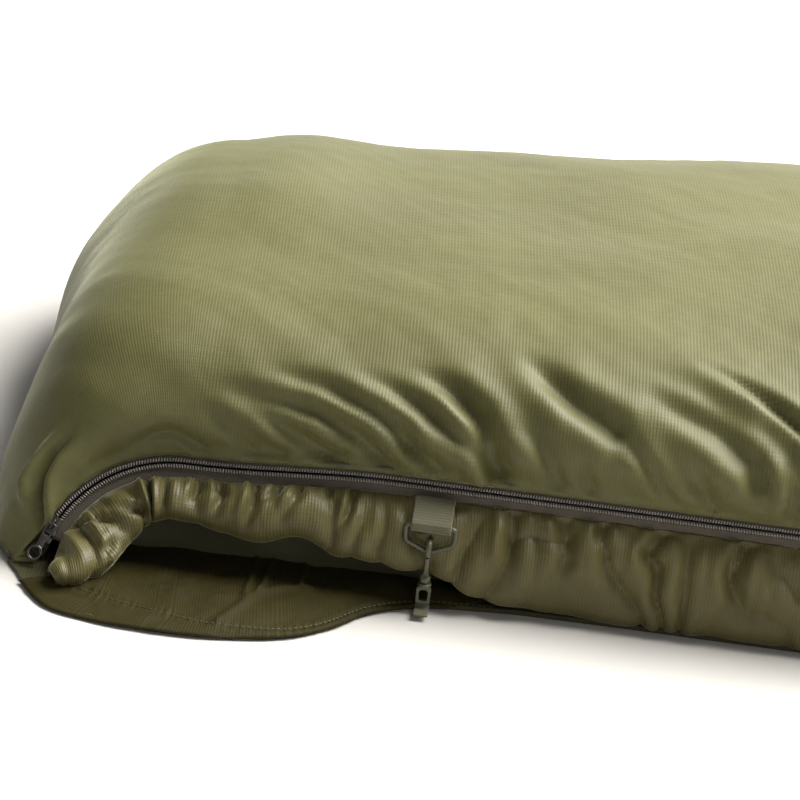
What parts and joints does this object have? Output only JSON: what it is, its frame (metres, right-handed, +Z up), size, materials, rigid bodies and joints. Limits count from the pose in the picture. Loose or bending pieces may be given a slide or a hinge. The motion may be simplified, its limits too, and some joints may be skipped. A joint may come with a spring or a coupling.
{
  "type": "bivy sack",
  "caption": "Long padded bivy sack lying flat, with a domed top, an open hood, a side zip with two sliders that turns down at the foot, and a webbing tab with a ring and swivel snap hook.",
  "frame": {"origin": "middle of the bounding box, on the underside of the ground sheet, where the sack lies on the ground", "axes": "+X from the foot to the hood, +Z up, and the zip on the -Y side"},
  "size_m": [2.2043, 0.7631, 0.2227],
  "materials": {
    "shell_fabric": "glossy ripstop nylon",
    "lining_fabric": "plain nylon taffeta",
    "wadding": "synthetic insulation",
    "ground_fabric": "coated nylon",
    "zip_tape": "woven tape",
    "zip_coil": "nylon coil",
    "slider_metal": "gunmetal plating",
    "webbing": "woven nylon webbing",
    "acetal": "moulded, satin",
    "eyelet_metal": "blackened"
  },
  "bodies": {
    "sack": {"top_quilt_shell": "shell_fabric", "side_wall_foot_shell": "shell_fabric", "side_wall_shell": "shell_fabric", "hood_shell": "shell_fabric", "side_flap": "shell_fabric", "top_quilt_lining": "lining_fabric", "side_wall_foot_lining": "lining_fabric", "side_wall_lining": "lining_fabric", "hood_lining": "lining_fabric", "base_lining": "lining_fabric", "draft_tube": "lining_fabric", "top_quilt_fill": "wadding", "side_wall_foot_fill": "wadding", "side_wall_fill": "wadding", "hood_fill": "wadding", "base_fill": "wadding", "ground_sheet": "ground_fabric", "hood_hem": "ground_fabric", "mouth_binding": "ground_fabric", "zip_tape_upper": "zip_tape", "zip_tape_lower": "zip_tape", "flap_seam": "zip_tape", "zip_coil_upper": "zip_coil", "zip_coil_lower": "zip_coil", "zip_stop_upper": "slider_metal", "zip_stop_lower": "slider_metal", "zip_end_box": "slider_metal", "ring_webbing": "webbing", "tether_tape": "webbing", "eyelet_zip_side": "eyelet_metal", "eyelet_far_side": "eyelet_metal"},
    "head_slider": {"head_slider": "slider_metal"},
    "head_pull": {"head_pull": "slider_metal"},
    "foot_slider": {"foot_slider": "slider_metal"},
    "foot_pull": {"foot_pull": "slider_metal"},
    "ring": {"d_ring": "acetal"},
    "hook": {"hook_body": "acetal"},
    "gate": {"hook_gate": "acetal"},
    "swivel": {"hook_swivel": "acetal"}
  },
  "joints": [
    {"name": "head_slider_run", "type": "slide", "parent": "sack", "child": "head_slider", "axis": [-0.9982, 0.0593, 0], "range_m": [0, 1.48]},
    {"name": "head_pull_swing", "type": "hinge", "parent": "head_slider", "child": "head_pull", "pos_m": [0.70707, -0.37527, 0.078], "axis": [0, 0, -1], "range_deg": [0, 165]},
    {"name": "foot_slider_turn", "type": "hinge", "parent": "sack", "child": "foot_slider", "pos_m": [-0.98328, -0.30754, -0.00576], "axis": [0.0529, 0.8898, -0.4534], "range_deg": [0, 60]},
    {"name": "foot_pull_swing", "type": "hinge", "parent": "foot_slider", "child": "foot_pull", "pos_m": [-1.05945, -0.29189, 0.02908], "axis": [-0.8955, 0.2431, 0.3727], "range_deg": [0, 150]},
    {"name": "ring_swing", "type": "hinge", "parent": "sack", "child": "ring", "pos_m": [-0.82636, -0.3013, 0.0594], "axis": [-0.9982, 0.0593, 0], "range_deg": [-2, 100]},
    {"name": "hook_swing", "type": "hinge", "parent": "ring", "child": "hook", "pos_m": [-0.82636, -0.3013, 0.0424], "axis": [-0.9982, 0.0593, 0], "range_deg": [-2, 50]},
    {"name": "gate_press", "type": "hinge", "parent": "hook", "child": "gate", "pos_m": [-0.82655, -0.30449, 0.0288], "axis": [-0.9982, 0.0593, 0], "range_deg": [0, 12], "stiffness_Nm_per_rad": 0.002, "springref_deg": -11.46},
    {"name": "swivel_turn", "type": "hinge", "parent": "hook", "child": "swivel", "pos_m": [-0.82636, -0.3013, 0.022], "axis": [0, 0, 1], "continuous": true}
  ]
}
